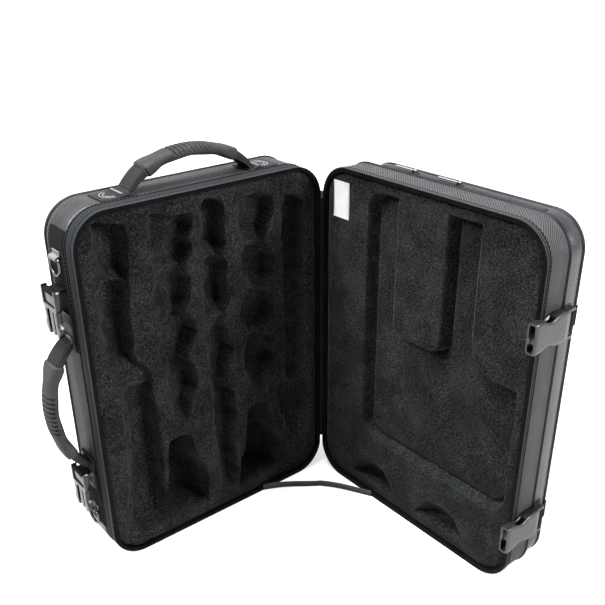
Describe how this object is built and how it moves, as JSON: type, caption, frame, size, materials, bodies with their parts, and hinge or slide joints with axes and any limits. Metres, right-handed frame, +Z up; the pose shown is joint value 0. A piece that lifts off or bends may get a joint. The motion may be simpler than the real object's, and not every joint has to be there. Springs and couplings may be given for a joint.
{
  "type": "clarinet case",
  "caption": "Fabric-covered case for a pair of clarinets, standing open: two zipped half shells on a cloth spine, fitted plush lining, carry handles, buckles and a music pocket.",
  "frame": {"origin": "centre of the open case's footprint, on the floor that it stands on", "axes": "+Z up, along the shells' height; the base's opening faces -Y and the lid's opening faces -X; the spine's hinge line is vertical"},
  "size_m": [0.3886, 0.3728, 0.427],
  "materials": {
    "twill": "woven twill with a faint sheen",
    "plush": "short plush over foam",
    "binding": "ribbed synthetic binding",
    "zipper_tape": "woven tape with a moulded coil",
    "piping": "satin vinyl",
    "webbing": "coarse woven webbing",
    "vinyl": "soft grained vinyl",
    "grip_rubber": "matt moulded rubber",
    "plug_plastic": "satin moulded plastic",
    "socket_plastic": "glossy moulded plastic",
    "ring_steel": "polished nickel",
    "slider_metal": "dark plated metal",
    "pull_metal": "polished nickel",
    "label_fabric": "bare white woven patch"
  },
  "bodies": {
    "base": {"base_shell": "twill", "base_lining": "plush", "base_rim_binding": "binding", "base_zipper_tape": "zipper_tape", "base_piping": "piping", "spine_hinge_tape": "webbing", "edge_strap_upper": "webbing", "edge_strap_lower": "webbing", "top_handle_anchors": "vinyl", "side_handle_anchors": "vinyl", "d_ring_tab_upper": "webbing", "d_ring_tab_lower": "webbing", "plug_tab_upper": "webbing", "plug_tab_lower": "webbing", "zipper_tail": "zipper_tape"},
    "lid": {"lid_shell": "twill", "lid_lining": "plush", "lining_label": "label_fabric", "lid_rim_binding": "binding", "lid_zipper_tape": "zipper_tape", "lid_piping": "piping", "pocket_gusset": "vinyl", "pocket_panel": "twill", "pocket_piping": "piping", "pocket_zipper": "zipper_tape", "socket_webbing_upper": "webbing", "socket_webbing_lower": "webbing"},
    "top_handle": {"top_handle_grip": "grip_rubber", "top_handle_sleeves": "webbing"},
    "side_handle": {"side_handle_grip": "grip_rubber", "side_handle_sleeves": "webbing"},
    "ring_upper": {"d_ring_upper": "ring_steel"},
    "ring_lower": {"d_ring_lower": "ring_steel"},
    "plug_upper": {"buckle_plug_upper": "plug_plastic"},
    "plug_lower": {"buckle_plug_lower": "plug_plastic"},
    "socket_upper": {"buckle_socket_upper": "socket_plastic"},
    "socket_lower": {"buckle_socket_lower": "socket_plastic"},
    "slider_one": {"pocket_slider_one": "slider_metal"},
    "slider_two": {"pocket_slider_two": "slider_metal"},
    "pull_one": {"pocket_pull_one": "pull_metal"},
    "pull_two": {"pocket_pull_two": "pull_metal"},
    "zipper_end": {"main_slider": "slider_metal"},
    "zipper_pull": {"main_pull": "pull_metal"}
  },
  "joints": [
    {"name": "lid_hinge", "type": "hinge", "parent": "base", "child": "lid", "pos_m": [0.1343, 0.1144, 0.195], "axis": [0, 0, 1], "range_deg": [-90, 2], "deforming": ["spine_hinge_tape", "zipper_tail"]},
    {"name": "top_handle_pivot", "type": "hinge", "parent": "base", "child": "top_handle", "pos_m": [-0.0113, 0.1494, 0.3916], "axis": [1, 0, 0], "range_deg": [-40, 40], "deforming": ["top_handle_sleeves"]},
    {"name": "side_handle_pivot", "type": "hinge", "parent": "base", "child": "side_handle", "pos_m": [-0.1589, 0.1494, 0.187], "axis": [0, 0, 1], "range_deg": [-40, 40], "deforming": ["side_handle_sleeves"]},
    {"name": "ring_upper_swing", "type": "hinge", "parent": "base", "child": "ring_upper", "pos_m": [-0.16048, 0.1494, 0.344], "axis": [0, 1, 0], "range_deg": [0, 150]},
    {"name": "ring_lower_swing", "type": "hinge", "parent": "base", "child": "ring_lower", "pos_m": [-0.16048, 0.1494, 0.054], "axis": [0, 1, 0], "range_deg": [0, 110]},
    {"name": "plug_upper_swing", "type": "hinge", "parent": "base", "child": "plug_upper", "pos_m": [-0.1693, 0.1494, 0.314], "axis": [0, 1, 0], "range_deg": [0, 110]},
    {"name": "plug_lower_swing", "type": "hinge", "parent": "base", "child": "plug_lower", "pos_m": [-0.1693, 0.1494, 0.108], "axis": [0, 1, 0], "range_deg": [0, 110]},
    {"name": "socket_upper_swing", "type": "hinge", "parent": "lid", "child": "socket_upper", "pos_m": [0.1723, -0.18115, 0.296], "axis": [0, 0, 1], "range_deg": [0, 90]},
    {"name": "socket_lower_swing", "type": "hinge", "parent": "lid", "child": "socket_lower", "pos_m": [0.1723, -0.18115, 0.075], "axis": [0, 0, 1], "range_deg": [0, 90]},
    {"name": "slider_one_travel", "type": "slide", "parent": "lid", "child": "slider_one", "axis": [0, 1, 0], "range_m": [0, 0.035]},
    {"name": "slider_two_travel", "type": "slide", "parent": "lid", "child": "slider_two", "axis": [0, 1, 0], "range_m": [-0.095, 0.01]},
    {"name": "pull_one_flip", "type": "hinge", "parent": "slider_one", "child": "pull_one", "pos_m": [0.1773, 0.0194, 0.39225], "axis": [1, 0, 0], "range_deg": [0, 150]},
    {"name": "pull_two_flip", "type": "hinge", "parent": "slider_two", "child": "pull_two", "pos_m": [0.1773, -0.0396, 0.39225], "axis": [1, 0, 0], "range_deg": [0, 150]},
    {"name": "zipper_end_turn", "type": "hinge", "parent": "base", "child": "zipper_end", "pos_m": [0.1343, 0.1144, 0.3528], "axis": [0, 0, 1], "range_deg": [-45.5, 1.5]},
    {"name": "zipper_pull_flip", "type": "hinge", "parent": "zipper_end", "child": "zipper_pull", "pos_m": [0.139, 0.1191, 0.3528], "axis": [0.7071, -0.7071, 0], "range_deg": [0, 150]}
  ],
  "couplings": [
    {"joint": "zipper_end_turn", "follows": "lid_hinge", "ratio": 0.5}
  ]
}
